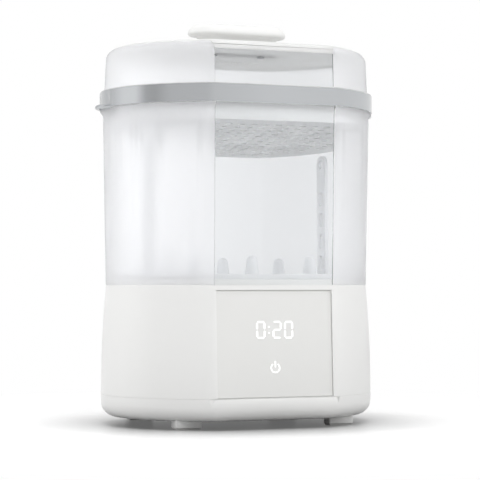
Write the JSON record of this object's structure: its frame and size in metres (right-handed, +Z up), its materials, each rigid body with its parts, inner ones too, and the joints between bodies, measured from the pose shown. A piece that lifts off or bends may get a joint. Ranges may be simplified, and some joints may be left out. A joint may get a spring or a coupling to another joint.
{
  "type": "baby bottle steriliser",
  "caption": "Electric steam steriliser and dryer with a control base, a frosted bottle chamber, a silver-rimmed basket and a lid with a handle.",
  "frame": {"origin": "on the table under the middle of the machine", "axes": "+Z up along the machine's height, the control panel faces -Y, +X to the right seen from the rear side"},
  "size_m": [0.276, 0.195, 0.3705],
  "materials": {
    "white_plastic": "satin",
    "foot_plastic": "matte",
    "soft_pad": "matte",
    "panel_grey": "gloss",
    "lit_white": "gloss",
    "dark_plastic": "matte",
    "circuit_board": "satin",
    "steel": "satin",
    "brushed_steel": "brushed",
    "heater_metal": "cast",
    "grey_cable": "matte",
    "duct_plastic": "matte",
    "filter_paper": "pleated",
    "frosted_plastic": "frosted",
    "clear_plastic": "clear",
    "clear_tray": "clear",
    "milky_plastic": "satin",
    "silver_trim": "satin"
  },
  "bodies": {
    "base": {"base_housing": "white_plastic", "panel_frame": "white_plastic", "base_rim": "white_plastic", "basin_tray": "white_plastic", "base_pan": "white_plastic", "feet": "foot_plastic", "foot_pads": "soft_pad", "base_screws": "steel", "front_panel": "panel_grey", "display_segments": "lit_white", "power_symbol": "lit_white", "led_display": "dark_plastic", "touch_pad": "dark_plastic", "control_board": "circuit_board", "board_screws": "steel", "power_board": "circuit_board", "board_components": "dark_plastic", "ribbon_cable": "grey_cable", "cord_gland": "dark_plastic", "heating_plate": "brushed_steel", "plate_seal": "soft_pad", "heating_element": "heater_metal", "thermostat": "dark_plastic", "plate_clamp": "steel", "clamp_screws": "steel", "fan_housing": "dark_plastic", "fan_motor": "steel", "air_heater": "heater_metal", "air_duct": "duct_plastic", "outlet_hood": "white_plastic", "filter_bay": "duct_plastic"},
    "fan": {"fan_impeller": "dark_plastic"},
    "filter": {"filter_drawer": "white_plastic", "air_filter": "filter_paper"},
    "rack": {"bottle_rack": "milky_plastic", "rack_skirt": "milky_plastic", "rack_posts": "milky_plastic"},
    "chamber": {"chamber_body": "frosted_plastic", "chamber_window": "clear_plastic"},
    "basket": {"upper_basket": "clear_tray", "trim_ring": "silver_trim"},
    "teat_rack": {"teat_rack": "milky_plastic", "teat_pegs": "milky_plastic"},
    "lid": {"lid_shell": "frosted_plastic", "lid_window": "clear_plastic", "lid_cover": "white_plastic", "lid_handle": "white_plastic", "handle_screws": "steel"}
  },
  "joints": [
    {"name": "chamber_lift", "type": "slide", "parent": "base", "child": "chamber", "axis": [0, 0, 1], "range_m": [0, 0.2]},
    {"name": "basket_lift", "type": "slide", "parent": "chamber", "child": "basket", "axis": [0, 0, 1], "range_m": [0, 0.12]},
    {"name": "lid_lift", "type": "slide", "parent": "basket", "child": "lid", "axis": [0, 0, 1], "range_m": [0, 0.14]},
    {"name": "teat_rack_lift", "type": "slide", "parent": "basket", "child": "teat_rack", "axis": [0, 0, 1], "range_m": [0, 0.028]},
    {"name": "rack_lift", "type": "slide", "parent": "base", "child": "rack", "axis": [0, 0, 1], "range_m": [0, 0.012]},
    {"name": "filter_slide", "type": "slide", "parent": "base", "child": "filter", "axis": [0, 0.9991, 0.043], "range_m": [0, 0.034]},
    {"name": "fan_spin", "type": "hinge", "parent": "base", "child": "fan", "pos_m": [0.078, 0, 0.048], "axis": [0, 0, 1], "continuous": true}
  ]
}
